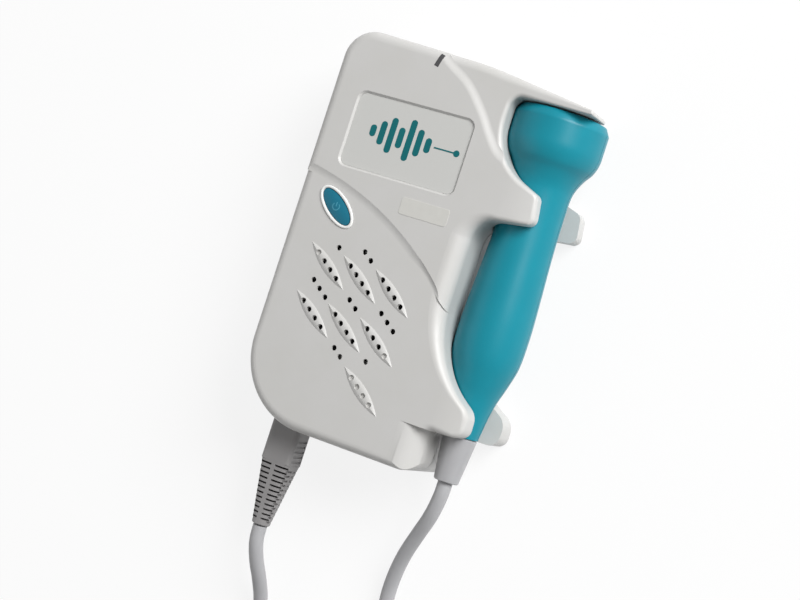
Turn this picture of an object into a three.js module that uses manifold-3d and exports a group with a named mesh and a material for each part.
// A pocket fetal doppler monitor with its hand probe docked in the side of the housing.
// All lengths are millimetres. X runs across the monitor, Y along it, and Z up from its back.
// A share is a part of the size that it is multiplied by.

import * as THREE from 'three';
import { mergeVertices } from 'three/addons/utils/BufferGeometryUtils.js';
import Module from 'manifold-3d';

const wasm = await Module();
wasm.setup();

// Overall size of the monitor with its probe docked
const bodyWidth = 92;
const bodyLength = 135;
const caseHeight = 34.4;

// Clearances and the lengths that all pieces share
const fitGap = 0.3;
const overrun = 1;
const roundTolerance = 0.12;
const edgeSteps = 4;
const rectangleSteps = 4;
const evenRoomShare = 0.5;
const edgeLimitShare = 0.9;
const sharpestTurnShare = 0.5;

// Housing
const wall = 2;
const seamHeight = 17.5;
const edgeRadius = 4;
const cavityEdge = 1;
const speakerDrop = 0.7;
const headDrop = 1.2;
const stepWidth = 0.6;
const bevelWidth = 2;
const scoopRadius = 10;
const scoopLength = 15.3;
const innerHeight = caseHeight - speakerDrop - wall;

// Corners of the housing's outline: x, y and corner radius as shares of the body, then edge rounding
const lowerCornerShares = [
  [0, 0, 0.283, 0.8],
  [0.7565, 0, 0.065, 0.75],
  [0.7565, 0.1133, 0.022, 0.55],
];
const lowerFingerShares = [
  [0, 0.1156, 0.04, 0.8],
  [0, 0.18, 0.06, 1.1],
];
const handleBayShares = [
  [0.6848, 0.2815, 0.402, 1.375],
  [0.6848, 0.6267, 0.0924, 1.375],
];
const handleBayRoomShare = 0.85;
const upperFingerShares = [
  [0, 0.6459, 0.028, 0.55],
  [-0.015, 0.717, 0.03, 0.5],
];
const headBayShares = [
  [0.679, 0.777, 0.2174, 0.4],
  [0.679, 0.9333, 0.0435, 0.35],
];
const headBayRoomShare = 0.68;
const armShares = [
  [0, 0.9333, 0.0054, 0.1],
  [-0.0032, 0.9444, 0.0087, 0.15],
];
const topShares = [
  [0.5652, 0.9881, 1.3, 0.8],
  [0, 1.003, 0.114, 0.85],
];
const cavityHeadShares = [
  [0.679, 0.777, 0.2174, 0.4],
  [0.679, 0.9764, 0.0087, 0.15],
];
const frontReachShares = { lower: 0.887, upper: 0.898, arm: 0.981 };
const rearReachShares = { lower: 0.943, upper: 0.976, arm: 0.935 };

// Lines that divide the face: the step above the speaker and the bevel beside the probe head
const speakerLineShares = [
  [-0.05, 0.642],
  [0.37, 0.607],
  [0.652, 0.426],
  [0.8, 0.33],
];
const headLineShares = [
  [0.34, 1.03],
  [0.413, 0.979],
  [0.516, 0.936],
  [0.6, 0.878],
  [0.652, 0.832],
  [0.703, 0.794],
  [0.765, 0.76],
  [0.83, 0.738],
];
const farShare = 1.2;
const lineSteps = 14;

// Overlay recess
const recessWidth = 42;
const recessLength = 24.9;
const recessXShare = 0.352;
const recessYShare = 0.7525;
const recessDepth = 1.2;
const recessCorner = 2.5;
const recessDraft = 0.9;
const overlayThickness = 0.5;

// Power button and its ring
const buttonXShare = 0.1695;
const buttonYShare = 0.555;
const buttonTurn = -0.653;
const buttonHalfLength = 7.57;
const buttonHalfWidth = 3.05;
const bezelRing = 0.95;
const bezelFlange = 1;
const bezelFlangeThickness = 0.8;
const bezelRise = 0.5;
const buttonFlange = 0.8;
const buttonFlangeThickness = 1.1;
const buttonTravel = 1;
const buttonCrown = 0.9;
const switchSize = 6;
const switchHeightShare = 0.54;
const plungerRadius = 1.75;
const ellipseSteps = 26;

// Speaker ribs and holes
const ribLength = 19.5;
const ribWidth = 3.4;
const ribHeight = 1;
const ribTurn = -0.646;
const ribTopWidthShare = 0.5;
const ribTopLengthShare = 0.6;
const ribShoulderShare = 0.75;
const ribSteps = 6;
const holeRadius = 0.85;
const holePitch = 3.65;
const holesPerRib = 4;
const holeSides = 8;
const blindDepth = 0.5;
const ribFieldXShare = 0.207;
const ribFieldYShare = 0.4105;
const ribColumnStep = [12.5, -1.15];
const ribRowStep = [0.1, -16.7];
const ribPlaces = [
  { column: 0, row: 0, blind: [0] },
  { column: 1, row: 0, blind: [] },
  { column: 2, row: 0, blind: [] },
  { column: 0, row: 1, blind: [] },
  { column: 1, row: 1, blind: [] },
  { column: 2, row: 1, blind: [3] },
  { column: 2, row: 2, blind: [0, 1, 2, 3] },
];
const dotRuns = [
  { xShare: 0.228, yShare: 0.4607, count: 1 },
  { xShare: 0.3304, yShare: 0.4696, count: 2 },
  { xShare: 0.1717, yShare: 0.3674, count: 3 },
  { xShare: 0.3304, yShare: 0.3474, count: 2 },
  { xShare: 0.4641, yShare: 0.34, count: 3 },
  { xShare: 0.3315, yShare: 0.2252, count: 2 },
  { xShare: 0.4641, yShare: 0.2178, count: 1 },
];

// Indicator window and its lamp
const windowXShare = 0.3815;
const windowYShare = 0.9748;
const windowTurn = -0.27;
const windowWidth = 1.5;
const windowLength = 7.5;
const windowDepth = 4.6;
const lampRadius = 1.5;
const lampYShare = 0.93;

// Circuit board
const boardThickness = 1.6;
const boardClearance = 1.3;
const boardCornerShares = [
  [0.152, 0.0815, 0.01],
  [0.6087, 0.0815, 0.01],
  [0.6087, 0.934, 0.02],
  [0.0652, 0.934, 0.02],
  [0.0652, 0.178, 0.02],
];

// Case screws and their posts: places as shares of the body
const caseScrewShares = [
  [0.072, 0.3],
  [0.652, 0.055],
  [0.1522, 0.935],
  [0.55, 0.895],
];
const postRadius = 3.4;
const screwRadius = 1.3;
const screwHeadRadius = 2.5;
const screwHeadHeight = 1.8;
const screwSeat = 4.5;
const screwLength = 20;

// Board screws and their posts
const boardScrewShares = [
  [0.095, 0.5],
  [0.587, 0.6],
  [0.26, 0.89],
];
const boardPostRadius = 2.4;
const boardScrewRadius = 1;
const boardScrewHeadRadius = 1.9;
const boardScrewHeadHeight = 1.1;
const boardScrewLength = 6;
const roundSides = 14;
const screwSides = 10;

// Speaker
const speakerRadius = 20;
const speakerXShare = 0.348;
const speakerYShare = 0.341;
const speakerRim = 1.2;
const speakerRimWidth = 2.4;
const speakerClearance = 0.7;
const speakerWall = 1;
const speakerMagnetRadius = 10.5;
const speakerMagnetShare = 0.32;
const speakerRingWall = 1.2;
const speakerRingShare = 0.5;
const coneThickness = 0.6;
const coneInnerRadius = 6.5;
const coneDropShare = 0.7;
const speakerSides = 24;

// Batteries, their bay, springs and contacts
const batteryRadius = 7.25;
const batteryLength = 49.5;
const batteryNubRadius = 2.75;
const batteryNubLength = 1;
const batteryGap = 0.8;
const batterySides = 20;
const bayXShare = 0.326;
const bayStart = 19.5;
const bayWall = 1.5;
const contactThickness = 0.5;
const contactSize = 10;
const springLength = 5;
const springRadius = 3.6;
const springTipRadius = 2.4;
const springWire = 0.35;
const springTurns = 3;
const springTurnSteps = 8;
const springSides = 4;

// Battery door
const doorThickness = 1.8;
const doorLap = 1.4;
const doorEnd = 81;
const doorTabWidth = 2;
const doorTabLength = 2.5;
const doorTabThickness = 1;
const doorGripLength = 9;
const doorGripDepth = 0.5;
const doorGripRidges = 5;

// Volume wheel
const wheelRadius = 8.6;
const wheelThickness = 3.9;
const wheelYShare = 0.778;
const wheelInset = 0.4;
const wheelNotches = 16;
const wheelNotchRadius = 0.55;
const wheelNotchSides = 6;
const wheelBevel = 0.5;
const wheelSlotLength = 13;
const potRadius = 5.5;
const potHeight = 2;
const potShaftRadius = 1.5;

// Headphone jack
const jackYShare = 0.655;
const jackWidth = 8;
const jackHeight = 6.6;
const jackBarrelRadius = 2.8;
const jackBoreRadius = 1.8;

// Probe: profile points as shares of the head radius and of the probe's length from its tail
const probeHeadRadius = 16;
const probeTail = 16;
const probeEndGap = 0.6;
const probeProfileShares = [
  [0.369, 0],
  [0.394, 0.028],
  [0.431, 0.073],
  [0.5, 0.123],
  [0.612, 0.178],
  [0.72, 0.247],
  [0.737, 0.347],
  [0.706, 0.457],
  [0.667, 0.567],
  [0.644, 0.667],
  [0.644, 0.755],
  [0.68, 0.793],
  [0.79, 0.83],
  [0.93, 0.862],
  [1, 0.903],
  [1, 0.978],
];
const probeInnerShares = [
  [0.86, 1],
  [0.86, 0.888],
  [0.74, 0.85],
  [0.53, 0.788],
  [0.53, 0.65],
  [0.6, 0.45],
  [0.62, 0.33],
  [0.51, 0.2],
  [0.34, 0.09],
  [0.288, 0.05],
  [0.288, 0],
];
const probeFaceEdge = 1.4;
const probeCurveSteps = 22;
const probeSides = 22;
const dockClearance = 0.5;
const probeFaceThickness = 2.3;
const crystalRadius = 8;
const crystalThickness = 0.8;
const crystalSplit = 0.8;
const backingThickness = 6.5;
const probeBoardLength = 40;
const handleInnerPoints = 7;
const probeBoardStartShare = 0.3;
const collarLength = 3;
const collarWall = 1.5;

// Sleeve at the probe's tail
const sleeveStart = 0.3;
const sleeveTipRadius = 4.2;
const sleeveRootRadius = 5.8;
const sleeveNeckLength = 5;
const sleeveSides = 14;

// Plug, its socket and its boot
const plugXShare = 0.1815;
const plugHeight = 16;
const plugWidth = 11.2;
const plugThickness = 10.4;
const plugCorner = 1.6;
const plugEdge = 0.5;
const plugLength = 13;
const plugReach = 5.2;
const plugOpeningLength = 9;
const pinWidth = 7.5;
const pinThickness = 5.5;
const pinLength = 7;
const socketWall = 1.2;
const socketDepth = 8.5;
const bootLength = 22;
const bootRootWidth = 11;
const bootRootThickness = 10.2;
const bootRootSquareness = 2.6;
const bootTipRadius = 3.1;
const bootSlots = 12;
const bootSlotWidth = 0.75;
const bootWeb = 2.4;
const bootCollar = 1.6;
const bootTip = 1.6;
const bootSides = 16;

// Cord: its diameter, and the coil of the length that lies put away beside the monitor
const cordDiameter = 5;
const cordSides = 10;
const cordLift = 0.05;
const cordStepDiameters = 2;
const coilX = 45;
const coilY = -99;
const coilOuterRadius = 35.75;
const coilPitch = 5.6;
const coilLayerRise = 5.6;
const coilStart = 2.618;
const coilTurns = 5.64;
const coilTurnSteps = 24;
const coilSides = 6;
const plugCordPoints = [
  [16.7, -35.7, 16],
  [16.9, -41, 15.6],
  [18, -47.5, 13.2],
  [19.5, -54.5, 8.9],
  [20.6, -62, 4.9],
  [20.2, -69, 2.9],
  [17.8, -75.5, 2.55],
];
const probeCordPoints = [
  [76, 0, 17.5],
  [75.9, -4.5, 17.45],
  [74.2, -12, 15.8],
  [70.6, -20, 12.2],
  [67.2, -28, 8.8],
  [64.9, -36, 5.6],
  [64, -44, 3.5],
  [64.9, -52, 2.7],
  [67.6, -60, 2.8],
  [71.3, -68.5, 4.3],
  [75.2, -77.5, 6.8],
];

// Finishes: colour, roughness and metalness
const finishes = {
  housing: [0xc9c8c5, 0.45, 0],
  ring: [0xf2f2f0, 0.4, 0],
  teal: [0x1e9baf, 0.4, 0],
  button: [0x327a8d, 0.4, 0],
  overlay: [0xd2d3d1, 0.35, 0],
  darkWindow: [0x1b1c1e, 0.2, 0],
  greyRubber: [0x6e6d6d, 0.6, 0],
  clearRubber: [0xb1b1b3, 0.5, 0],
  cord: [0x9c9c9e, 0.55, 0],
  circuitBoard: [0x2f6b3c, 0.5, 0],
  blackPlastic: [0x222224, 0.5, 0],
  steel: [0xb8babd, 0.3, 1],
  ceramic: [0xe6dfcf, 0.6, 0],
  paper: [0x3a3a3c, 0.9, 0],
  batteryWrap: [0x4a4d52, 0.4, 0.2],
  lamp: [0x6fd07a, 0.2, 0],
  epoxy: [0x8d8578, 0.6, 0],
};

// Builds a closed solid from a geometry, with shared vertices merged and its faces turned outwards.
function solidOf(geometry) {
  const bare = geometry.clone();
  bare.deleteAttribute('normal');
  bare.deleteAttribute('uv');
  const merged = mergeVertices(bare);
  const corners = merged.attributes.position.array;
  const index = merged.index.array;
  const kept = [];
  const a = new THREE.Vector3();
  const b = new THREE.Vector3();
  const c = new THREE.Vector3();
  let volume = 0;
  for (let i = 0; i < index.length; i += 3) {
    const [p, q, r] = [index[i], index[i + 1], index[i + 2]];
    if (p === q || q === r || r === p) continue;
    kept.push(p, q, r);
    a.fromArray(corners, 3 * p);
    b.fromArray(corners, 3 * q);
    c.fromArray(corners, 3 * r);
    volume += a.dot(b.cross(c));
  }
  if (volume < 0) kept.reverse();
  return new wasm.Manifold(new wasm.Mesh({
    numProp: 3,
    vertProperties: new Float32Array(corners),
    triVerts: new Uint32Array(kept),
  }));
}

// Turns a solid back into a geometry.
function geometryOf(solid) {
  const mesh = solid.getMesh();
  const geometry = new THREE.BufferGeometry();
  geometry.setAttribute('position', new THREE.BufferAttribute(new Float32Array(mesh.vertProperties), 3));
  geometry.setIndex(new THREE.BufferAttribute(new Uint32Array(mesh.triVerts), 1));
  geometry.computeVertexNormals();
  return geometry;
}

// Makes a named mesh of a solid in one of the finishes.
function piece(name, solid, finish) {
  const [color, roughness, metalness] = finishes[finish];
  const material = new THREE.MeshStandardMaterial({ color, roughness, metalness });
  const mesh = new THREE.Mesh(geometryOf(solid), material);
  mesh.name = name;
  return mesh;
}

// Joins rings of points, lowest first and each anticlockwise from above, into a closed skin.
function loft(rings) {
  const count = rings[0].length;
  const positions = rings.flat().flatMap((point) => [point.x, point.y, point.z]);
  const index = [];
  for (let k = 0; k + 1 < rings.length; k += 1) {
    for (let i = 0; i < count; i += 1) {
      const j = (i + 1) % count;
      const low = k * count;
      const high = low + count;
      index.push(low + i, low + j, high + j, low + i, high + j, high + i);
    }
  }
  const last = (rings.length - 1) * count;
  for (const [a, b, c] of THREE.ShapeUtils.triangulateShape(flat(rings[0]), [])) index.push(c, b, a);
  for (const [a, b, c] of THREE.ShapeUtils.triangulateShape(flat(rings.at(-1)), [])) {
    index.push(last + a, last + b, last + c);
  }
  const geometry = new THREE.BufferGeometry();
  geometry.setAttribute('position', new THREE.BufferAttribute(new Float32Array(positions), 3));
  geometry.setIndex(index);
  return geometry;
}

function flat(ring) {
  return ring.map((point) => new THREE.Vector2(point.x, point.y));
}

function at(outline, z) {
  return outline.map((point) => new THREE.Vector3(point.x, point.y, z));
}

// A straight solid over an outline, between two heights.
function prism(outline, low, high) {
  return solidOf(loft([at(outline, low), at(outline, high)]));
}

// A box given by its lowest and highest corners.
function block(low, high) {
  const size = high.map((value, i) => value - low[i]);
  const geometry = new THREE.BoxGeometry(...size);
  return solidOf(geometry.translate(...low.map((value, i) => value + size[i] / 2)));
}

// A revolved solid on a vertical axis. The profile holds pairs of radius and height.
function turned(profile, sides, x = 0, y = 0) {
  const points = profile.map(([radius, height]) => new THREE.Vector2(radius, height));
  const geometry = new THREE.LatheGeometry(points, sides);
  return solidOf(geometry.rotateX(Math.PI / 2).translate(x, y, 0));
}

// A revolved solid on an axis along Y. The profile holds pairs of radius and place along Y.
function turnedAlongY(profile, sides) {
  const points = profile.map(([radius, place]) => new THREE.Vector2(radius, place));
  return solidOf(new THREE.LatheGeometry(points, sides));
}

function cylinder(radius, low, high, sides, x = 0, y = 0) {
  return turned([[0, low], [radius, low], [radius, high], [0, high]], sides, x, y);
}

// Rounds every corner of a closed outline with an arc. Corners turn left where they stand out.
function roundedOutline(corners) {
  return corners.flatMap((corner, i) => {
    const before = corners.at(i - 1);
    const after = corners[(i + 1) % corners.length];
    const here = new THREE.Vector2(corner.x, corner.y);
    const back = new THREE.Vector2(before.x, before.y).sub(here);
    const ahead = new THREE.Vector2(after.x, after.y).sub(here);
    const room = Math.min(back.length(), ahead.length());
    back.normalize();
    ahead.normalize();
    const half = Math.acos(THREE.MathUtils.clamp(back.dot(ahead), -1, 1)) / 2;
    const reach = Math.min(corner.radius / Math.tan(half), room * (corner.room ?? evenRoomShare));
    const radius = reach * Math.tan(half);
    const turn = Math.PI - 2 * half;
    const stepTurn = 2 * Math.acos(1 - Math.min(roundTolerance / radius, 1));
    const steps = corner.steps ?? Math.max(1, Math.ceil(turn / stepTurn));
    const middle = back.clone().add(ahead).normalize();
    const centre = here.clone().addScaledVector(middle, radius / Math.sin(half));
    const start = here.clone().addScaledVector(back, reach).sub(centre);
    const outward = Math.sign(ahead.clone().cross(back));
    const limit = edgeLimitShare * radius * Math.cos(turn / steps / 2);
    const edge = outward > 0 ? Math.min(corner.edge ?? 0, limit) : corner.edge;
    return Array.from({ length: steps + 1 }, (_, k) => {
      const point = start.clone().rotateAround(new THREE.Vector2(), (outward * turn * k) / steps);
      return { x: centre.x + point.x, y: centre.y + point.y, edge };
    });
  });
}

// Moves every side of a polygon inwards, and keeps its round corners on the same centres.
function insetCorners(corners, distance) {
  return corners.map((corner, i) => {
    const before = corners.at(i - 1);
    const after = corners[(i + 1) % corners.length];
    const back = new THREE.Vector2(before.x - corner.x, before.y - corner.y).normalize();
    const ahead = new THREE.Vector2(after.x - corner.x, after.y - corner.y).normalize();
    const outward = Math.sign(ahead.clone().cross(back));
    const half = Math.acos(THREE.MathUtils.clamp(back.dot(ahead), -1, 1)) / 2;
    const middle = back.add(ahead).normalize().multiplyScalar((outward * distance) / Math.sin(half));
    const radius = Math.max(corner.radius - outward * distance, fitGap);
    return { ...corner, x: corner.x + middle.x, y: corner.y + middle.y, radius };
  });
}

// Points of an outline moved inwards, each by its own distance.
function insetPoints(outline, distanceOf) {
  return outline.map((point, i) => {
    const before = outline.at(i - 1);
    const after = outline[(i + 1) % outline.length];
    const one = new THREE.Vector2(point.x - before.x, point.y - before.y).normalize();
    const two = new THREE.Vector2(after.x - point.x, after.y - point.y).normalize();
    const along = one.clone().add(two).normalize();
    const stretch = 1 / Math.max(along.dot(one), sharpestTurnShare);
    const distance = distanceOf(point) * stretch;
    return { ...point, x: point.x - along.y * distance, y: point.y + along.x * distance };
  });
}

// A solid over an outline whose far edge is rounded by each point's own edge radius.
function roundedPrism(outline, base, face) {
  const away = Math.sign(face - base);
  const rings = [at(outline, base)];
  for (let k = 0; k <= edgeSteps; k += 1) {
    const angle = (Math.PI / 2) * (k / edgeSteps);
    const inset = insetPoints(outline, (point) => point.edge * (1 - Math.cos(angle)));
    rings.push(inset.map((point) => (
      new THREE.Vector3(point.x, point.y, face - away * point.edge * (1 - Math.sin(angle)))
    )));
  }
  if (away < 0) rings.reverse();
  return solidOf(loft(rings));
}

// Turns a table of shares into corners of an outline.
function cornersOf(shares, reachShare = 0) {
  return shares.map(([x, y, radius, edge]) => ({
    x: (x + reachShare) * bodyWidth,
    y: y * bodyLength,
    radius: radius * bodyWidth,
    edge: edge * edgeRadius,
  }));
}

// The housing's outline, with two fingers that reach round the docked probe and an arm over its head.
function housingCorners(reach, headShares = headBayShares, overShares = armShares) {
  const handleBay = cornersOf(handleBayShares);
  handleBay[0].room = handleBayRoomShare;
  const headBay = cornersOf(headShares);
  headBay[0].room = headBayRoomShare;
  return [
    ...cornersOf(lowerCornerShares),
    ...cornersOf(lowerFingerShares, reach.lower),
    ...handleBay,
    ...cornersOf(upperFingerShares, reach.upper),
    ...headBay,
    ...cornersOf(overShares, reach.arm),
    ...cornersOf(topShares),
  ];
}

const frontCorners = housingCorners(frontReachShares);
const rearCorners = housingCorners(rearReachShares);
const cavityCorners = insetCorners(
  housingCorners(frontReachShares, cavityHeadShares, []),
  wall,
);
for (const corner of cavityCorners) corner.edge = Math.min(cavityEdge, corner.edge);

const placeOf = ([x, y]) => [x * bodyWidth, y * bodyLength];
const [speakerX, speakerY] = placeOf([speakerXShare, speakerYShare]);
const [buttonX, buttonY] = placeOf([buttonXShare, buttonYShare]);
const [recessX, recessY] = placeOf([recessXShare, recessYShare]);
const [windowX, windowY] = placeOf([windowXShare, windowYShare]);
const caseScrews = caseScrewShares.map(placeOf);
const boardScrews = boardScrewShares.map(placeOf);
const probeX = bodyWidth - probeHeadRadius;
const probeLength = headBayShares[1][1] * bodyLength - probeEndGap - probeTail;
const plugX = plugXShare * bodyWidth;
const wheelX = wheelInset + wheelRadius;
const wheelY = wheelYShare * bodyLength;
const jackY = jackYShare * bodyLength;
const bayX = bayXShare * bodyWidth;
const bayWidth = 4 * batteryRadius + 3 * batteryGap;
const bayLength = 2 * contactThickness + springLength + batteryLength + batteryNubLength + 5 * fitGap;
const bayEnd = bayStart + bayLength;
const bayFloor = doorThickness + fitGap;
const bayCeiling = bayFloor + fitGap + 2 * batteryRadius + fitGap;
const doorWidth = bayWidth + 2 * doorLap;
const boardHeight = bayCeiling + bayWall + boardClearance;
const boardTop = boardHeight + boardThickness;
const wheelTop = boardHeight - potHeight - fitGap;
const wheelBase = wheelTop - wheelThickness;
const speakerTop = innerHeight - fitGap;
const speakerStack = speakerTop - boardTop - speakerClearance;
const speakerMagnetHeight = speakerMagnetShare * speakerStack;
const speakerDepth = speakerStack - speakerMagnetHeight;
const speakerBase = speakerTop - speakerDepth;

// A line across the face: a curve through points given as shares of the body.
function faceLine(shares, smooth) {
  const points = shares.map(placeOf).map(([x, y]) => new THREE.Vector2(x, y));
  const curve = smooth
    ? new THREE.SplineCurve(points)
    : new THREE.QuadraticBezierCurve(points[0], points[1], points[2]);
  const line = curve.getPoints(lineSteps);
  if (!smooth) line.push(points[3]);
  return line;
}

// Moves a line to its left by a distance.
function shiftLine(line, distance) {
  return line.map((point, i) => {
    const before = line[Math.max(i - 1, 0)];
    const after = line[Math.min(i + 1, line.length - 1)];
    const along = after.clone().sub(before).normalize();
    return new THREE.Vector2(point.x - along.y * distance, point.y + along.x * distance);
  });
}

const speakerLine = faceLine(speakerLineShares, false);
const headLine = faceLine(headLineShares, true);
const farX = farShare * bodyWidth;
const farY = farShare * bodyLength;

// The highest level of the face, with a steep step towards the speaker and a bevel towards the head.
function plateauRegion() {
  const low = [...speakerLine, new THREE.Vector2(farX, speakerLine.at(-1).y), ...sideOfHead(headLine)];
  const high = [
    ...shiftLine(speakerLine, stepWidth),
    new THREE.Vector2(farX, speakerLine.at(-1).y),
    ...sideOfHead(shiftLine(headLine, -bevelWidth)),
  ];
  const foot = low.map((point, i) => (
    new THREE.Vector3(point.x, point.y, caseHeight - (i < speakerLine.length ? speakerDrop : headDrop))
  ));
  return solidOf(loft([at(low, 0), foot, at(high, caseHeight), at(high, caseHeight + overrun)]));
}

function sideOfHead(line) {
  const right = new THREE.Vector2(farX, line.at(-1).y);
  const left = new THREE.Vector2(-bodyWidth, farY);
  return [right, ...line.slice().reverse(), left];
}

function speakerRegion() {
  const line = shiftLine(speakerLine, stepWidth).reverse();
  const below = [
    new THREE.Vector2(-bodyWidth, -bodyWidth),
    new THREE.Vector2(farX, -bodyWidth),
    new THREE.Vector2(farX, line[0].y),
  ];
  return prism([...line, ...below], 0, caseHeight);
}

function headRegion() {
  const line = shiftLine(headLine, -bevelWidth);
  const corners = [new THREE.Vector2(farX, line.at(-1).y), new THREE.Vector2(farX, farY)];
  return prism([...line, ...corners], 0, caseHeight);
}

// What is cut off the lower right edge of the face, below the lower finger.
function scoop(inset) {
  const right = lowerCornerShares[1][0] * bodyWidth;
  const arcSteps = 8;
  const radius = scoopRadius - inset;
  const profile = [[right + overrun, caseHeight + overrun], [right - scoopRadius, caseHeight + overrun]];
  for (let k = 0; k <= arcSteps; k += 1) {
    const angle = (Math.PI / 2) * (1 - k / arcSteps);
    profile.push([
      right - scoopRadius + radius * Math.cos(angle),
      caseHeight - scoopRadius + radius * Math.sin(angle),
    ]);
  }
  profile.push([right + overrun, caseHeight - scoopRadius]);
  const shape = new THREE.Shape(profile.map(([x, z]) => new THREE.Vector2(x, z)));
  const depth = scoopLength + overrun + inset;
  const geometry = new THREE.ExtrudeGeometry(shape, { depth, bevelEnabled: false });
  return solidOf(geometry.rotateX(Math.PI / 2).translate(0, scoopLength + inset, 0));
}

// The probe's outer profile, from its tail to its face: pairs of radius and place along the probe.
function probeProfile(grow) {
  const points = probeProfileShares.map(([radius, place]) => (
    new THREE.Vector2(radius * probeHeadRadius, probeTail + place * probeLength)
  ));
  const curve = new THREE.SplineCurve(points).getPoints(probeCurveSteps);
  const face = new THREE.Vector2(probeHeadRadius - probeFaceEdge, probeTail + probeLength);
  const profile = [...curve, face].map((point) => [Math.min(point.x, probeHeadRadius) + grow, point.y]);
  if (grow > 0) {
    profile[0][1] -= grow;
    profile.at(-1)[1] += grow;
  }
  return profile;
}

// The room that the probe takes as it slides out sideways, grown by a clearance.
function probeRoom(grow) {
  const profile = probeProfile(grow);
  const top = profile.at(-1)[1];
  const tail = -overrun;
  const closed = [[0, tail], [profile[0][0], tail], ...profile, [0, top]];
  const docked = new THREE.LatheGeometry(closed.map((pair) => new THREE.Vector2(...pair)), probeSides);
  docked.translate(probeX, 0, seamHeight);
  const right = closed.slice(1, -1);
  const left = right.map(([radius, place]) => [-radius, place]).reverse();
  const shape = new THREE.Shape([...right, ...left].map((pair) => new THREE.Vector2(...pair)));
  const path = new THREE.ExtrudeGeometry(shape, { depth: bodyWidth, bevelEnabled: false });
  path.rotateY(Math.PI / 2).translate(probeX, 0, seamHeight);
  return solidOf(docked).add(solidOf(path));
}

// The hollow of one housing half, clear of the probe's cradle and of the scooped edge.
function cavity(low, high, face) {
  const outline = roundedOutline(cavityCorners);
  const limit = lowerCornerShares[1][0] * bodyWidth - wall;
  const inside = block([-overrun, -overrun, low - overrun], [limit, bodyLength + overrun, high + overrun]);
  return roundedPrism(outline, face === high ? low : high, face)
    .intersect(inside)
    .subtract(probeRoom(dockClearance + wall))
    .subtract(scoop(wall));
}

// A rounded rectangle about a centre.
function rectangle(x, y, width, length, radius) {
  const corners = [[-1, -1], [1, -1], [1, 1], [-1, 1]].map(([sideX, sideY]) => ({
    x: x + (sideX * width) / 2,
    y: y + (sideY * length) / 2,
    radius,
    steps: rectangleSteps,
  }));
  return roundedOutline(corners);
}

function ellipse(halfLength, halfWidth) {
  return Array.from({ length: ellipseSteps }, (_, i) => {
    const angle = (2 * Math.PI * i) / ellipseSteps;
    return { x: halfLength * Math.cos(angle), y: halfWidth * Math.sin(angle) };
  });
}

// Places a geometry that lies on the button's own axes.
function onButton(geometry) {
  return geometry.rotateZ(buttonTurn).translate(buttonX, buttonY, 0);
}

function recessCutter() {
  const rings = [
    at(rectangle(recessX, recessY, recessWidth - recessDraft, recessLength - recessDraft, recessCorner),
      caseHeight - recessDepth),
    at(rectangle(recessX, recessY, recessWidth + recessDraft, recessLength + recessDraft,
      recessCorner + recessDraft), caseHeight + overrun),
  ];
  return solidOf(loft(rings));
}

function buttonHole() {
  const ring = ellipse(buttonHalfLength + bezelRing + fitGap, buttonHalfWidth + bezelRing + fitGap);
  return solidOf(onButton(loft([at(ring, innerHeight - overrun), at(ring, caseHeight + overrun)])));
}

// The places of the holes along a rib, about the rib's middle.
function ribHoles() {
  return Array.from({ length: holesPerRib }, (_, i) => (i - (holesPerRib - 1) / 2) * holePitch);
}

function ribCentre(place) {
  const [startX, startY] = placeOf([ribFieldXShare, ribFieldYShare]);
  return [
    startX + place.column * ribColumnStep[0] + place.row * ribRowStep[0],
    startY + place.column * ribColumnStep[1] + place.row * ribRowStep[1],
  ];
}

// A lens-shaped outline: two arcs that meet in points.
function lens(length, width) {
  const half = [];
  for (let k = 0; k < ribSteps; k += 1) {
    const along = k / ribSteps;
    half.push({ x: length * (along - 1 / 2), y: -width * 2 * along * (1 - along) });
  }
  return [...half, ...half.map(({ x, y }) => ({ x: -x, y: -y }))];
}

function rib(place) {
  const [x, y] = ribCentre(place);
  const foot = caseHeight - speakerDrop;
  const geometry = loft([
    at(lens(ribLength, ribWidth), foot - wall / 2),
    at(lens(ribLength, ribWidth), foot),
    at(lens(ribLength * (1 + ribTopWidthShare) / 2, ribWidth * (1 + ribTopWidthShare) / 2),
      foot + ribHeight * ribShoulderShare),
    at(lens(ribLength * ribTopLengthShare, ribWidth * ribTopWidthShare), foot + ribHeight),
  ]);
  return solidOf(geometry.rotateZ(ribTurn).translate(x, y, 0));
}

// A drilled hole in the speaker field, right through or blind.
function drilled(x, y, blind) {
  const foot = caseHeight - speakerDrop;
  const low = blind ? foot - blindDepth : innerHeight - overrun;
  return cylinder(holeRadius, low, foot + ribHeight + overrun, holeSides, x, y);
}

function ribDrillings(place) {
  const [x, y] = ribCentre(place);
  return ribHoles().map((along, i) => (
    drilled(x + along * Math.cos(ribTurn), y + along * Math.sin(ribTurn), place.blind.includes(i))
  ));
}

function dotDrillings(run) {
  const [x, y] = placeOf([run.xShare, run.yShare]);
  return Array.from({ length: run.count }, (_, i) => (
    drilled(x + i * holePitch * Math.cos(ribTurn), y + i * holePitch * Math.sin(ribTurn), false)
  ));
}

function windowBox(grow, low) {
  const half = windowWidth / 2 + grow;
  const reach = windowLength / 2 + grow;
  const geometry = new THREE.BoxGeometry(2 * half, 2 * reach, windowDepth + overrun);
  geometry.translate(0, 0, low + (windowDepth + overrun) / 2);
  return geometry.rotateZ(windowTurn).translate(windowX, windowY, 0);
}

// The slot in the left wall that the volume wheel's edge shows through.
function wheelSlot() {
  return block(
    [-overrun, wheelY - wheelSlotLength / 2, wheelBase - fitGap],
    [wheelX, wheelY + wheelSlotLength / 2, wheelTop + fitGap],
  );
}

function jackHole() {
  const centre = boardHeight - jackHeight / 2;
  const geometry = new THREE.CylinderGeometry(
    jackBarrelRadius + fitGap, jackBarrelRadius + fitGap, 2 * wall + overrun, roundSides,
  );
  return solidOf(geometry.rotateZ(Math.PI / 2).translate(wall / 2, jackY, centre));
}

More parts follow.
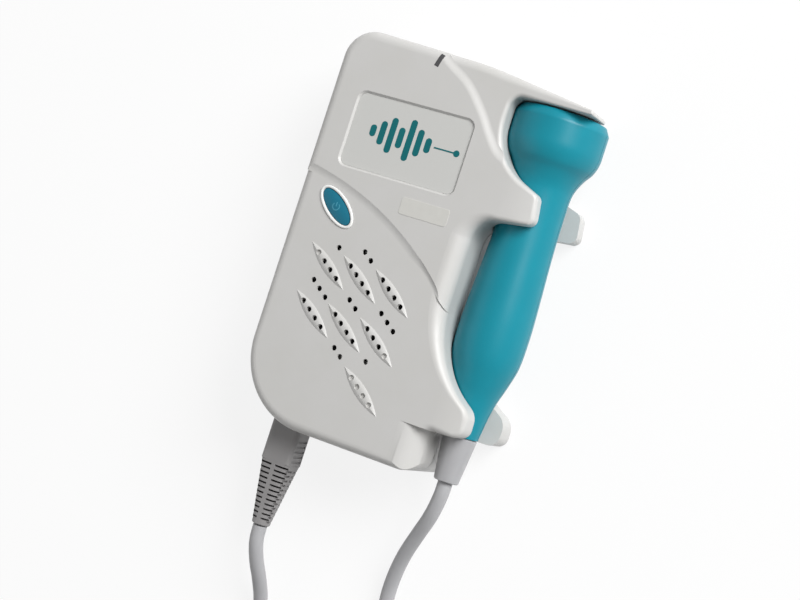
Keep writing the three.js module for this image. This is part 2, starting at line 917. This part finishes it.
function plugOpening() {
  const halfWidth = plugWidth / 2 + fitGap;
  const halfThickness = plugThickness / 2 + fitGap;
  return block(
    [plugX - halfWidth, -overrun, plugHeight - halfThickness],
    [plugX + halfWidth, plugOpeningLength, plugHeight + halfThickness],
  );
}

// A hollow round post on a case half.
function post(x, y, radius, bore, low, high, sides) {
  const profile = [[bore, low], [radius, low], [radius, high], [bore, high], [bore, low]];
  return turned(profile, sides, x, y);
}

function frontCover() {
  const outline = roundedOutline(frontCorners);
  const base = seamHeight + fitGap;
  const plateau = roundedPrism(outline, base, caseHeight).intersect(plateauRegion());
  const speakerField = roundedPrism(outline, base, caseHeight - speakerDrop).intersect(speakerRegion());
  const headField = roundedPrism(outline, base, caseHeight - headDrop).intersect(headRegion());
  let shell = plateau.add(speakerField).add(headField).subtract(scoop(0));
  for (const place of ribPlaces) shell = shell.add(rib(place));
  shell = shell.subtract(cavity(base, innerHeight, innerHeight)).subtract(probeRoom(dockClearance));
  for (const [x, y] of caseScrews) {
    shell = shell
      .add(cylinder(postRadius, base, innerHeight + fitGap, roundSides, x, y))
      .subtract(cylinder(screwRadius + fitGap, base - overrun, innerHeight, roundSides, x, y));
  }
  for (const [x, y] of boardScrews) {
    shell = shell
      .add(cylinder(boardPostRadius, boardTop, innerHeight + fitGap, roundSides, x, y))
      .subtract(cylinder(boardScrewRadius + fitGap, base - overrun, innerHeight, roundSides, x, y));
  }
  const ringInner = speakerRadius + fitGap;
  const ring = post(
    speakerX, speakerY, ringInner + speakerRingWall, ringInner,
    innerHeight - speakerRingShare * speakerStack, innerHeight + fitGap, speakerSides,
  );
  shell = shell.add(ring).subtract(recessCutter()).subtract(buttonHole());
  shell = shell.subtract(solidOf(windowBox(fitGap, caseHeight - windowDepth)));
  for (const place of ribPlaces) {
    for (const hole of ribDrillings(place)) shell = shell.subtract(hole);
  }
  for (const run of dotRuns) {
    for (const hole of dotDrillings(run)) shell = shell.subtract(hole);
  }
  return shell.subtract(wheelSlot()).subtract(jackHole()).subtract(plugOpening());
}

// The room of the two cells, with the notches that the door's tabs pass through.
function bayRoom() {
  const half = bayWidth / 2;
  let room = block([bayX - half, bayStart, -overrun], [bayX + half, bayEnd, bayCeiling]);
  for (const side of [-1, 1]) {
    room = room.add(doorTab(side, fitGap, doorTabLength + fitGap));
  }
  return room;
}

// One tab of the battery door, which hooks behind the rear housing's wall.
function doorTab(side, grow, reach) {
  const x = bayX + side * (bayWidth / 2 - doorTabWidth / 2 - fitGap);
  const half = doorTabWidth / 2 + grow;
  return block(
    [x - half, bayEnd - overrun, bayFloor - grow],
    [x + half, doorEnd + reach, bayFloor + doorTabThickness + grow],
  );
}

function doorOutline(grow) {
  const half = doorWidth / 2 + grow;
  return block([bayX - half, -overrun, -overrun], [bayX + half, doorEnd + grow, doorThickness + grow]);
}

function rearCover() {
  const outer = roundedPrism(roundedOutline(rearCorners), seamHeight, 0);
  const half = bayWidth / 2 + bayWall;
  const doorHalf = doorWidth / 2 + fitGap + wall;
  const bayBox = block(
    [bayX - half, bayStart - bayWall, 0],
    [bayX + half, bayEnd + bayWall, bayCeiling + bayWall],
  );
  const innerFloor = block(
    [bayX - doorHalf, -overrun, -overrun],
    [bayX + doorHalf, doorEnd + fitGap + wall, bayFloor + wall],
  );
  const hollow = cavity(0, seamHeight + overrun, wall).subtract(innerFloor);
  let shell = outer.subtract(hollow).subtract(probeRoom(dockClearance)).add(bayBox);
  for (const [x, y] of caseScrews) {
    shell = shell.add(post(x, y, postRadius, screwRadius + fitGap, wall / 2, seamHeight, roundSides));
  }
  shell = shell.subtract(doorOutline(fitGap)).subtract(bayRoom());
  for (const [x, y] of caseScrews) {
    shell = shell
      .subtract(cylinder(screwHeadRadius + fitGap, -overrun, screwSeat, roundSides, x, y))
      .subtract(cylinder(screwRadius + fitGap, 0, seamHeight + overrun, roundSides, x, y));
  }
  return shell.subtract(wheelSlot()).subtract(jackHole()).subtract(plugOpening());
}

function batteryDoor() {
  const outer = roundedPrism(roundedOutline(rearCorners), seamHeight, 0);
  let door = outer.intersect(doorOutline(0));
  for (const side of [-1, 1]) {
    const x = bayX + side * (bayWidth / 2 - doorTabWidth / 2 - fitGap);
    const root = block(
      [x - doorTabWidth / 2, bayEnd + bayWall + fitGap, doorThickness / 2],
      [x + doorTabWidth / 2, doorEnd, bayFloor + doorTabThickness],
    );
    door = door.add(root).add(doorTab(side, 0, doorTabLength).intersect(
      block([0, bayEnd + bayWall + fitGap, 0], [bodyWidth, bodyLength, caseHeight]),
    ));
  }
  for (let i = 0; i < doorGripRidges; i += 1) {
    const y = doorEnd - doorGripLength - (i * doorGripLength) / doorGripRidges;
    door = door.subtract(block(
      [bayX - doorGripLength, y, -overrun],
      [bayX + doorGripLength, y + doorGripLength / doorGripRidges / 2, doorGripDepth],
    ));
  }
  return door;
}

function displayOverlay() {
  const outline = rectangle(
    recessX, recessY,
    recessWidth - recessDraft - 2 * fitGap, recessLength - recessDraft - 2 * fitGap,
    recessCorner - fitGap,
  );
  const floor = caseHeight - recessDepth;
  return prism(outline, floor, floor + overlayThickness);
}

function indicatorWindow() {
  const outline = roundedOutline(frontCorners);
  const blank = roundedPrism(outline, seamHeight, caseHeight);
  return solidOf(windowBox(0, caseHeight - windowDepth)).intersect(blank);
}

function indicatorLamp() {
  const top = caseHeight - windowDepth - fitGap - lampRadius;
  const steps = 4;
  const profile = [[0, boardTop], [lampRadius, boardTop]];
  for (let k = 0; k <= steps; k += 1) {
    const angle = (Math.PI / 2) * (k / steps);
    profile.push([lampRadius * Math.cos(angle), top + lampRadius * Math.sin(angle)]);
  }
  profile[profile.length - 1][0] = 0;
  return turned(profile, roundSides, windowX, lampYShare * bodyLength);
}

const bezelTop = caseHeight - speakerDrop + bezelRise;
const bezelBase = innerHeight - fitGap - bezelFlangeThickness;
const buttonFlangeTop = bezelBase - fitGap;
const buttonBase = buttonFlangeTop - buttonFlangeThickness;

// The ring round the button, on the button's own axes, with a flange behind the housing.
function buttonBezel() {
  const outer = (grow) => ellipse(buttonHalfLength + bezelRing + grow, buttonHalfWidth + bezelRing + grow);
  const flangeTop = innerHeight - fitGap;
  const round = bezelRise / 2;
  const body = loft([
    at(outer(bezelFlange), bezelBase),
    at(outer(bezelFlange), flangeTop),
    at(outer(0), flangeTop),
    at(outer(0), bezelTop - round),
    at(outer(-round), bezelTop),
  ]);
  const inner = ellipse(buttonHalfLength + fitGap / 2, buttonHalfWidth + fitGap / 2);
  const hole = loft([at(inner, bezelBase - overrun), at(inner, bezelTop + overrun)]);
  return solidOf(body).subtract(solidOf(hole));
}

// The oval key, on its own axes, with a crowned top and a flange that keeps it behind the ring.
function powerButton() {
  const side = (grow) => ellipse(buttonHalfLength - fitGap / 2 + grow, buttonHalfWidth - fitGap / 2 + grow);
  const crownSteps = 4;
  const rim = bezelTop - bezelRise / 2;
  const rings = [
    at(side(buttonFlange), buttonBase),
    at(side(buttonFlange), buttonFlangeTop),
    at(side(0), buttonFlangeTop),
  ];
  for (let k = 0; k < crownSteps; k += 1) {
    const share = k / crownSteps;
    const outline = side(0).map(({ x, y }) => ({ x: x * (1 - share), y: y * (1 - share) }));
    rings.push(at(outline, rim + buttonCrown * (1 - (1 - share) ** 2) / 2));
  }
  return solidOf(loft(rings));
}

function buttonSwitch() {
  const half = switchSize / 2;
  const tip = buttonBase - buttonTravel - fitGap / 2;
  const top = boardTop + switchHeightShare * (tip - boardTop);
  const base = block([-half, -half, boardTop], [half, half, top]);
  const plunger = cylinder(plungerRadius, boardTop, tip, roundSides);
  return base.add(plunger);
}

function mainBoard() {
  const corners = boardCornerShares.map(([x, y, radius]) => ({
    x: x * bodyWidth,
    y: y * bodyLength,
    radius: radius * bodyWidth,
    edge: 0,
  }));
  let board = prism(roundedOutline(corners), boardHeight, boardTop);
  for (const [x, y] of caseScrews) {
    board = board.subtract(
      cylinder(postRadius + fitGap, boardHeight - overrun, boardTop + overrun, roundSides, x, y),
    );
  }
  for (const [x, y] of boardScrews) {
    board = board.subtract(
      cylinder(boardScrewRadius + fitGap, boardHeight - overrun, boardTop + overrun, roundSides, x, y),
    );
  }
  return board;
}

function screw(radius, headRadius, headHeight, length) {
  const bevel = headHeight / 4;
  return turned([
    [0, -headHeight],
    [headRadius - bevel, -headHeight],
    [headRadius, bevel - headHeight],
    [headRadius, 0],
    [radius, 0],
    [radius, length - radius],
    [0, length],
  ], screwSides);
}

// The speaker's basket: a flat rim on a cup.
function speakerFrame() {
  const cup = speakerRadius - speakerRimWidth;
  const seat = speakerMagnetRadius + speakerWall;
  return turned([
    [speakerMagnetRadius / 2, speakerBase],
    [seat, speakerBase],
    [cup, speakerTop - speakerRim],
    [speakerRadius, speakerTop - speakerRim],
    [speakerRadius, speakerTop],
    [cup, speakerTop],
    [cup - speakerWall, speakerTop - speakerRim],
    [seat - speakerWall, speakerBase + speakerWall],
    [speakerMagnetRadius / 2, speakerBase + speakerWall],
    [speakerMagnetRadius / 2, speakerBase],
  ], speakerSides);
}

function speakerCone() {
  const rim = speakerRadius - speakerRimWidth - speakerWall;
  const high = speakerTop - speakerRim / 2;
  const low = high - coneDropShare * (high - speakerBase - speakerWall);
  return turned([
    [0, (low + high) / 2],
    [coneInnerRadius, low],
    [rim, high],
    [rim, high + coneThickness],
    [coneInnerRadius, low + coneThickness],
    [0, (low + high) / 2 + coneThickness],
  ], speakerSides);
}

function speakerMagnet() {
  return cylinder(speakerMagnetRadius, speakerBase - speakerMagnetHeight, speakerBase, speakerSides);
}

// One cell lying along Y, with its raised contact at the far end.
function battery() {
  return turnedAlongY([
    [0, 0],
    [batteryRadius, 0],
    [batteryRadius, batteryLength],
    [batteryNubRadius, batteryLength],
    [batteryNubRadius, batteryLength + batteryNubLength],
    [0, batteryLength + batteryNubLength],
  ], batterySides);
}

// A tube of a few sides along a list of points.
function tube(points, radius, sides) {
  const up = new THREE.Vector3(0, 0, 1);
  const rings = points.map((point, i) => {
    const before = points[Math.max(i - 1, 0)];
    const after = points[Math.min(i + 1, points.length - 1)];
    const along = after.clone().sub(before).normalize();
    const across = along.clone().cross(up).normalize();
    const rise = across.clone().cross(along);
    return Array.from({ length: sides }, (_, k) => {
      const angle = (2 * Math.PI * (k + 1 / 2)) / sides;
      return point.clone()
        .addScaledVector(across, radius * Math.cos(angle))
        .addScaledVector(rise, radius * Math.sin(angle));
    });
  });
  const positions = rings.flat().flatMap((corner) => corner.toArray());
  const index = [];
  for (let k = 0; k + 1 < rings.length; k += 1) {
    for (let i = 0; i < sides; i += 1) {
      const j = (i + 1) % sides;
      const low = k * sides;
      const high = low + sides;
      index.push(low + i, low + j, high + j, low + i, high + j, high + i);
    }
  }
  const last = positions.length / 3 - sides;
  for (let i = 1; i + 1 < sides; i += 1) {
    index.push(0, i + 1, i, last, last + i, last + i + 1);
  }
  const geometry = new THREE.BufferGeometry();
  geometry.setAttribute('position', new THREE.BufferAttribute(new Float32Array(positions), 3));
  geometry.setIndex(index);
  return geometry;
}

// A conical contact spring on an axis along Y.
function batterySpring() {
  const steps = springTurns * springTurnSteps;
  const points = Array.from({ length: steps + 1 }, (_, i) => {
    const share = i / steps;
    const angle = 2 * Math.PI * springTurns * share;
    const radius = THREE.MathUtils.lerp(springRadius, springTipRadius, share);
    return new THREE.Vector3(
      radius * Math.cos(angle),
      radius * Math.sin(angle),
      THREE.MathUtils.lerp(springWire, springLength - springWire, share),
    );
  });
  return solidOf(tube(points, springWire, springSides).rotateX(-Math.PI / 2));
}

function batteryContact() {
  const half = contactSize / 2;
  return block([-half, 0, -half], [half, contactThickness, half]);
}

// The thumb wheel on its own axis, with a notched rim.
function volumeWheel() {
  const bore = potShaftRadius + fitGap;
  let wheel = turned([
    [bore, 0],
    [wheelRadius - wheelBevel, 0],
    [wheelRadius, wheelBevel],
    [wheelRadius, wheelThickness - wheelBevel],
    [wheelRadius - wheelBevel, wheelThickness],
    [bore, wheelThickness],
    [bore, 0],
  ], 2 * wheelNotches);
  for (let i = 0; i < wheelNotches; i += 1) {
    const angle = (2 * Math.PI * i) / wheelNotches;
    wheel = wheel.subtract(cylinder(
      wheelNotchRadius, -overrun, wheelThickness + overrun, wheelNotchSides,
      wheelRadius * Math.cos(angle), wheelRadius * Math.sin(angle),
    ));
  }
  return wheel;
}

function volumePot() {
  return turned([
    [0, wheelBase],
    [potShaftRadius, wheelBase],
    [potShaftRadius, boardHeight - potHeight],
    [potRadius, boardHeight - potHeight],
    [potRadius, boardHeight],
    [0, boardHeight],
  ], roundSides);
}

function headphoneJack() {
  const centre = boardHeight - jackHeight / 2;
  const start = wall + fitGap;
  const end = bayX - bayWidth / 2 - bayWall - fitGap;
  const body = block(
    [start, jackY - jackWidth / 2, boardHeight - jackHeight],
    [end, jackY + jackWidth / 2, boardHeight],
  );
  const rod = (radius, low, high) => {
    const geometry = new THREE.CylinderGeometry(radius, radius, high - low, roundSides);
    return solidOf(geometry.rotateZ(Math.PI / 2).translate((low + high) / 2, jackY, centre));
  };
  return body
    .add(rod(jackBarrelRadius, wall / 2, start + overrun))
    .subtract(rod(jackBoreRadius, -overrun, end - wall));
}

// One half of the probe's shell, on the probe's own axis, on the side given by a sign.
function probeShell(side) {
  const inner = probeInnerShares.map(([radius, place]) => (
    [radius * probeHeadRadius, probeTail + place * probeLength]
  ));
  const outer = probeProfile(0);
  const whole = turnedAlongY([...outer, ...inner, outer[0]], probeSides);
  const far = probeHeadRadius + overrun;
  const low = side > 0 ? -far : -fitGap / 2;
  const high = side > 0 ? fitGap / 2 : far;
  return whole.subtract(block([-far, 0, low], [far, bodyLength, high]));
}

const faceTop = probeTail + probeLength;
const faceRadius = probeInnerShares[0][0] * probeHeadRadius - fitGap;
const crystalTop = faceTop - probeFaceThickness - fitGap;
const backingTop = crystalTop - crystalThickness - fitGap;

function probeFace() {
  return turnedAlongY([
    [0, faceTop - probeFaceThickness],
    [faceRadius, faceTop - probeFaceThickness],
    [faceRadius, faceTop - probeFaceThickness / 4],
    [faceRadius - probeFaceThickness / 4, faceTop],
    [0, faceTop],
  ], probeSides);
}

// A half-round piezo element on the side given by a sign.
function probeCrystal(side) {
  const disc = turnedAlongY([
    [0, crystalTop - crystalThickness],
    [crystalRadius, crystalTop - crystalThickness],
    [crystalRadius, crystalTop],
    [0, crystalTop],
  ], probeSides);
  const edge = crystalSplit / 2;
  const far = crystalRadius + overrun;
  const low = side > 0 ? -far : -edge;
  const high = side > 0 ? edge : far;
  return disc.subtract(block([low, 0, -far], [high, bodyLength, far]));
}

function probeBacking() {
  return turnedAlongY([
    [0, backingTop - backingThickness],
    [faceRadius, backingTop - backingThickness],
    [faceRadius, backingTop],
    [0, backingTop],
  ], probeSides);
}

// The board lies across the handle, held at its edges where the shell is narrowest.
function probeBoard() {
  const start = probeTail + probeBoardStartShare * probeLength;
  const narrow = Math.min(...probeInnerShares.slice(0, handleInnerPoints).map(([radius]) => radius));
  const half = narrow * probeHeadRadius * Math.cos(Math.PI / probeSides) - fitGap;
  return block(
    [-half, start, -boardThickness / 2],
    [half, start + probeBoardLength, boardThickness / 2],
  );
}

const boreRadius = probeInnerShares.at(-1)[0] * probeHeadRadius;

function probeCollar() {
  const start = probeTail + sleeveNeckLength + fitGap;
  const radius = boreRadius - fitGap;
  return turnedAlongY([
    [radius - collarWall, start],
    [radius, start],
    [radius, start + collarLength],
    [radius - collarWall, start + collarLength],
    [radius - collarWall, start],
  ], sleeveSides);
}

// The tapered sleeve at the probe's tail, with a neck inside the shell.
function probeSleeve() {
  const root = probeTail - fitGap;
  const end = probeTail + sleeveNeckLength;
  const neck = boreRadius - fitGap;
  const profile = [
    [0, sleeveStart],
    [sleeveTipRadius - fitGap, sleeveStart],
    [sleeveTipRadius, sleeveStart + fitGap],
    [sleeveRootRadius, root],
    [neck, root],
    [neck, end],
    [0, end],
  ];
  return turnedAlongY(profile, sleeveSides);
}

// The plug on its own axis: Y is 0 at the housing's bottom edge. Its key goes into the socket.
function probePlug() {
  const outline = (width, thickness) => rectangle(0, 0, width, thickness, plugCorner);
  const body = loft([
    at(outline(plugWidth - 2 * plugEdge, plugThickness - 2 * plugEdge), -plugReach - overrun),
    at(outline(plugWidth, plugThickness), -plugReach),
    at(outline(plugWidth, plugThickness), plugLength - plugEdge),
    at(outline(bootRootWidth, bootRootThickness), plugLength),
  ]);
  const key = block(
    [-pinWidth / 2, -pinThickness / 2, -plugReach - pinLength],
    [pinWidth / 2, pinThickness / 2, -plugReach],
  );
  const solid = solidOf(body).add(key);
  return solidOf(geometryOf(solid).rotateX(Math.PI / 2));
}

function probeSocket() {
  const start = plugReach + overrun + fitGap;
  const halfWidth = pinWidth / 2 + fitGap;
  const halfThickness = pinThickness / 2 + fitGap;
  const end = start + socketDepth;
  return block(
    [plugX - halfWidth - socketWall, start, plugHeight - halfThickness - socketWall],
    [plugX + halfWidth + socketWall, end, boardHeight],
  ).subtract(block(
    [plugX - halfWidth, start - overrun, plugHeight - halfThickness],
    [plugX + halfWidth, end - socketWall, plugHeight + halfThickness],
  ));
}

// The plug's boot: a tapered rod that slots from both sides turn into a row of bending segments.
function plugBoot() {
  const ring = (share, z) => Array.from({ length: bootSides }, (_, i) => {
    const angle = (2 * Math.PI * i) / bootSides;
    const halfWidth = THREE.MathUtils.lerp(bootRootWidth / 2, bootTipRadius, share);
    const halfThickness = THREE.MathUtils.lerp(bootRootThickness / 2, bootTipRadius, share);
    const power = 1 / THREE.MathUtils.lerp(bootRootSquareness, 1, share);
    const bulge = (value) => Math.sign(value) * Math.abs(value) ** power;
    return new THREE.Vector3(halfWidth * bulge(Math.cos(angle)), halfThickness * bulge(Math.sin(angle)), z);
  });
  let boot = solidOf(loft([ring(0, 0), ring(1, bootLength)]));
  const pitch = (bootLength - bootCollar - bootTip) / bootSlots;
  for (let i = 0; i < bootSlots; i += 1) {
    const low = bootCollar + i * pitch;
    for (const side of [-1, 1]) {
      const inner = (side * bootWeb) / 2;
      const outer = side * bootRootWidth;
      boot = boot.subtract(block(
        [Math.min(inner, outer), -bootRootThickness, low],
        [Math.max(inner, outer), bootRootThickness, low + bootSlotWidth],
      ));
    }
  }
  return solidOf(geometryOf(boot).rotateX(Math.PI / 2));
}

// The coil's centre line: it spirals in on the lower layer, climbs where it turns, and spirals out.
function coilPoints() {
  const steps = Math.round(coilTurns * coilTurnSteps);
  const middle = coilTurns / 2;
  return Array.from({ length: steps + 1 }, (_, i) => {
    const turns = (coilTurns * i) / steps;
    const angle = coilStart + 2 * Math.PI * turns;
    const radius = coilOuterRadius - coilPitch * (middle - Math.abs(turns - middle));
    const climb = THREE.MathUtils.smoothstep(turns, middle - 1 / 4, middle + 1 / 4);
    return new THREE.Vector3(
      coilX + radius * Math.cos(angle),
      coilY + radius * Math.sin(angle),
      cordDiameter / 2 + cordLift + coilLayerRise * climb,
    );
  });
}

// Adds a straight run of one diameter to each end of a list of points.
function withStraightEnds(points) {
  const start = points[0].clone().sub(points[1]).setZ(0).setLength(cordDiameter);
  const end = points.at(-1).clone().sub(points.at(-2)).setZ(0).setLength(cordDiameter);
  return [points[0].clone().add(start), ...points, points.at(-1).clone().add(end)];
}

// The least room between stretches of the coil that are over one diameter apart along the cord.
function leastCoilGap(points) {
  const apart = Math.ceil(coilTurnSteps / 4);
  let least = Infinity;
  for (let i = 0; i < points.length; i += 1) {
    for (let j = i + apart; j < points.length - 1; j += 1) {
      const along = new THREE.Line3(points[j], points[j + 1]);
      const near = along.closestPointToPoint(points[i], true, new THREE.Vector3());
      least = Math.min(least, near.distanceTo(points[i]) - cordDiameter);
    }
  }
  return least;
}

// A free stretch of the cord along a hand-laid route.
function cordStretch(points) {
  const route = new THREE.CatmullRomCurve3(points, false, 'centripetal');
  const section = new THREE.Shape();
  for (let i = 0; i < cordSides; i += 1) {
    const angle = (2 * Math.PI * (i + 1 / 2)) / cordSides;
    const place = [(cordDiameter / 2) * Math.cos(angle), (cordDiameter / 2) * Math.sin(angle)];
    if (i === 0) section.moveTo(...place);
    else section.lineTo(...place);
  }
  const steps = Math.round(route.getLength() / (cordStepDiameters * cordDiameter));
  const geometry = new THREE.ExtrudeGeometry(section, { steps, extrudePath: route, bevelEnabled: false });
  return solidOf(geometry);
}

const coilLine = withStraightEnds(coilPoints());
const toPoints = (list) => list.map((place) => new THREE.Vector3(...place));

// The end of a stretch that meets the coil, one fitting gap off the coil's end face.
function meeting(end, inner) {
  const along = end.clone().sub(inner).normalize();
  return end.clone().addScaledVector(along, fitGap);
}

function plugCord() {
  const end = meeting(coilLine[0], coilLine[1]);
  const lead = end.clone().add(coilLine[0].clone().sub(coilLine[1]).setLength(cordDiameter / 2));
  return cordStretch([...toPoints(plugCordPoints).slice(0, -1), lead, end]);
}

function probeCord() {
  const end = meeting(coilLine.at(-1), coilLine.at(-2));
  const lead = end.clone().add(coilLine.at(-1).clone().sub(coilLine.at(-2)).setLength(cordDiameter / 2));
  return cordStretch([...toPoints(probeCordPoints).slice(0, -1), lead, end]);
}

// Sets a mesh on its place and adds it to a group.
function place(group, mesh, x, y, z, turn = 0) {
  mesh.position.set(x, y, z);
  mesh.rotation.z = turn;
  group.add(mesh);
  return mesh;
}

function housing() {
  const group = new THREE.Group();
  group.add(piece('front_cover', frontCover(), 'housing'));
  group.add(piece('rear_cover', rearCover(), 'housing'));
  group.add(piece('battery_door', batteryDoor(), 'housing'));
  group.add(piece('display_overlay', displayOverlay(), 'overlay'));
  group.add(piece('indicator_window', indicatorWindow(), 'darkWindow'));
  place(group, piece('button_bezel', buttonBezel(), 'ring'), buttonX, buttonY, 0, buttonTurn);
  place(group, piece('power_button', powerButton(), 'button'), buttonX, buttonY, 0, buttonTurn);
  caseScrews.forEach(([x, y], i) => {
    const solid = screw(screwRadius, screwHeadRadius, screwHeadHeight, screwLength);
    place(group, piece(`case_screw_${i + 1}`, solid, 'steel'), x, y, screwSeat);
  });
  return group;
}

function electronics() {
  const group = new THREE.Group();
  group.add(piece('main_board', mainBoard(), 'circuitBoard'));
  group.add(piece('indicator_lamp', indicatorLamp(), 'lamp'));
  place(group, piece('button_switch', buttonSwitch(), 'blackPlastic'), buttonX, buttonY, 0, buttonTurn);
  place(group, piece('speaker_frame', speakerFrame(), 'steel'), speakerX, speakerY, 0);
  place(group, piece('speaker_cone', speakerCone(), 'paper'), speakerX, speakerY, 0);
  place(group, piece('speaker_magnet', speakerMagnet(), 'steel'), speakerX, speakerY, 0);
  place(group, piece('volume_wheel', volumeWheel(), 'blackPlastic'), wheelX, wheelY, wheelBase);
  place(group, piece('volume_pot', volumePot(), 'blackPlastic'), wheelX, wheelY, 0);
  group.add(piece('headphone_jack', headphoneJack(), 'blackPlastic'));
  group.add(piece('probe_socket', probeSocket(), 'blackPlastic'));
  boardScrews.forEach(([x, y], i) => {
    const solid = screw(boardScrewRadius, boardScrewHeadRadius, boardScrewHeadHeight, boardScrewLength);
    place(group, piece(`board_screw_${i + 1}`, solid, 'steel'), x, y, boardHeight);
  });
  return group;
}

function power() {
  const group = new THREE.Group();
  const height = bayFloor + fitGap + batteryRadius;
  const springSeat = bayStart + fitGap + contactThickness;
  const cellStart = springSeat + springLength + fitGap;
  const farContact = bayEnd - fitGap - contactThickness;
  const cells = [
    { name: 'left', x: bayX - batteryRadius - batteryGap / 2, turned: false },
    { name: 'right', x: bayX + batteryRadius + batteryGap / 2, turned: true },
  ];
  for (const cell of cells) {
    const mesh = piece(`battery_${cell.name}`, battery(), 'batteryWrap');
    const spring = piece(`battery_spring_${cell.name}`, batterySpring(), 'steel');
    if (cell.turned) {
      place(group, mesh, cell.x, bayEnd + bayStart - cellStart, height, Math.PI);
      place(group, spring, cell.x, bayEnd + bayStart - springSeat, height, Math.PI);
    } else {
      place(group, mesh, cell.x, cellStart, height);
      place(group, spring, cell.x, springSeat, height);
    }
    const low = piece(`battery_contact_${cell.name}_low`, batteryContact(), 'steel');
    const high = piece(`battery_contact_${cell.name}_high`, batteryContact(), 'steel');
    place(group, low, cell.x, bayStart + fitGap, height);
    place(group, high, cell.x, farContact, height);
  }
  return group;
}

function probe() {
  const group = new THREE.Group();
  group.position.set(probeX, 0, seamHeight);
  group.add(piece('probe_shell_front', probeShell(1), 'teal'));
  group.add(piece('probe_shell_rear', probeShell(-1), 'teal'));
  group.add(piece('probe_face', probeFace(), 'clearRubber'));
  group.add(piece('probe_crystal_left', probeCrystal(-1), 'ceramic'));
  group.add(piece('probe_crystal_right', probeCrystal(1), 'ceramic'));
  group.add(piece('probe_backing', probeBacking(), 'epoxy'));
  group.add(piece('probe_board', probeBoard(), 'circuitBoard'));
  group.add(piece('probe_collar', probeCollar(), 'steel'));
  group.add(piece('probe_strain_relief', probeSleeve(), 'clearRubber'));
  return group;
}

function cord() {
  const group = new THREE.Group();
  place(group, piece('probe_plug', probePlug(), 'greyRubber'), plugX, 0, plugHeight);
  place(group, piece('plug_boot', plugBoot(), 'greyRubber'), plugX, -plugLength - fitGap, plugHeight);
  group.add(piece('plug_cord', plugCord(), 'cord'));
  group.add(piece('cord_coil', solidOf(tube(coilLine, cordDiameter / 2, coilSides)), 'cord'));
  group.add(piece('probe_cord', probeCord(), 'cord'));
  return group;
}

console.log(`least gap of the coil to itself: ${leastCoilGap(coilPoints()).toFixed(2)} mm`);

const monitor = new THREE.Group();
monitor.position.set(-bodyWidth / 2, -bodyLength / 2, 0);
monitor.add(housing(), electronics(), power(), probe(), cord());

export default monitor;
